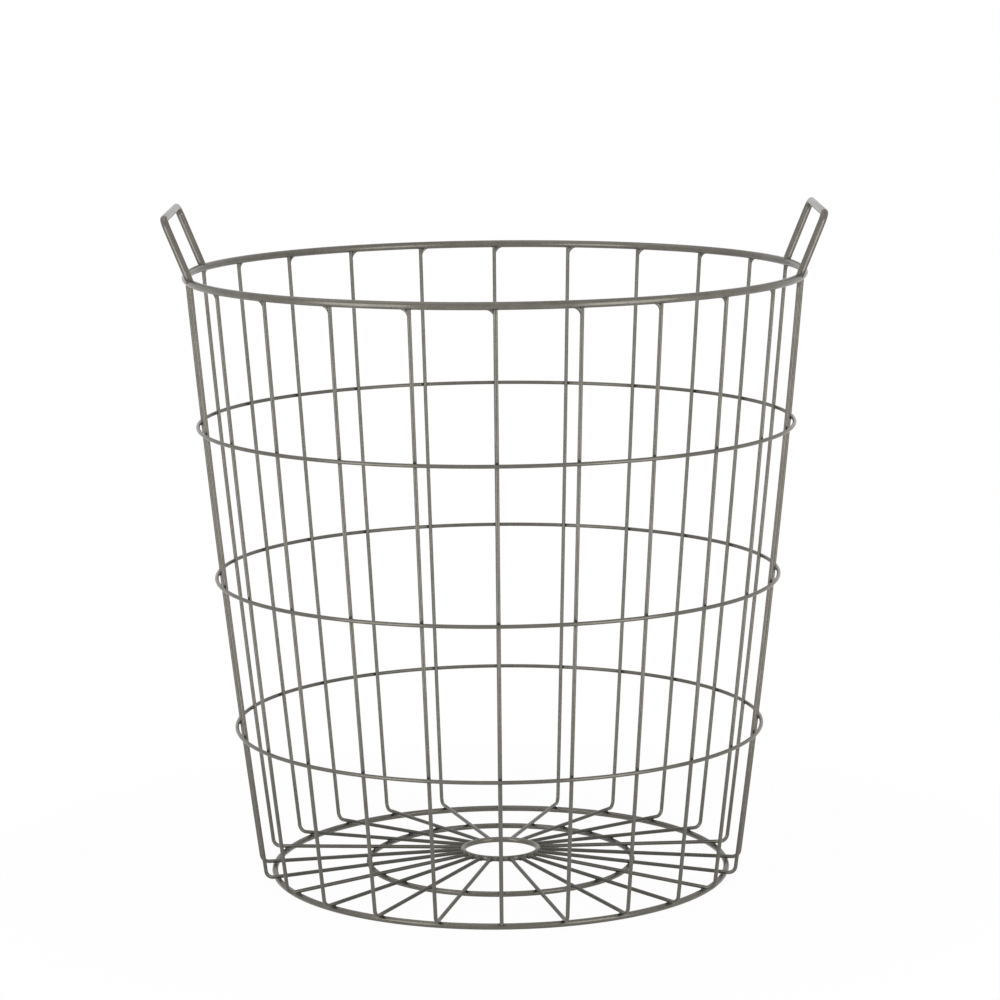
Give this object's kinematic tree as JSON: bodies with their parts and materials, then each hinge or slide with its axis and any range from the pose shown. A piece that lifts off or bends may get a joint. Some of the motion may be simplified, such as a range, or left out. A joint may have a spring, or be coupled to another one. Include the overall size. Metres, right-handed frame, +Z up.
{
  "type": "wire basket",
  "caption": "Round tapered harvest basket of welded round wire, with an open top, a spoked base, hoops around its uprights and two fixed bent-bar handles on the rim.",
  "frame": {"origin": "on the floor, on the basket's axis, under the centre of the foot ring", "axes": "+Z up along the basket's axis, +X to the right handle, -Y to the front that the picture shows"},
  "size_m": [0.4244, 0.405, 0.4407],
  "materials": {
    "grey_finish": "satin warm grey metallic paint over steel wire"
  },
  "bodies": {
    "root": {"foot_ring": "grey_finish", "mid_ring": "grey_finish", "hub_ring": "grey_finish", "upright_01": "grey_finish", "upright_02": "grey_finish", "upright_03": "grey_finish", "upright_04": "grey_finish", "upright_05": "grey_finish", "upright_06": "grey_finish", "upright_07": "grey_finish", "upright_08": "grey_finish", "upright_09": "grey_finish", "upright_10": "grey_finish", "upright_11": "grey_finish", "upright_12": "grey_finish", "upright_13": "grey_finish", "upright_14": "grey_finish", "upright_15": "grey_finish", "upright_16": "grey_finish", "upright_17": "grey_finish", "upright_18": "grey_finish", "upright_19": "grey_finish", "upright_20": "grey_finish", "upright_21": "grey_finish", "upright_22": "grey_finish", "upright_23": "grey_finish", "upright_24": "grey_finish", "lower_hoop": "grey_finish", "middle_hoop": "grey_finish", "upper_hoop": "grey_finish", "rim": "grey_finish", "handle_right": "grey_finish", "handle_left": "grey_finish"}
  },
  "joints": []
}
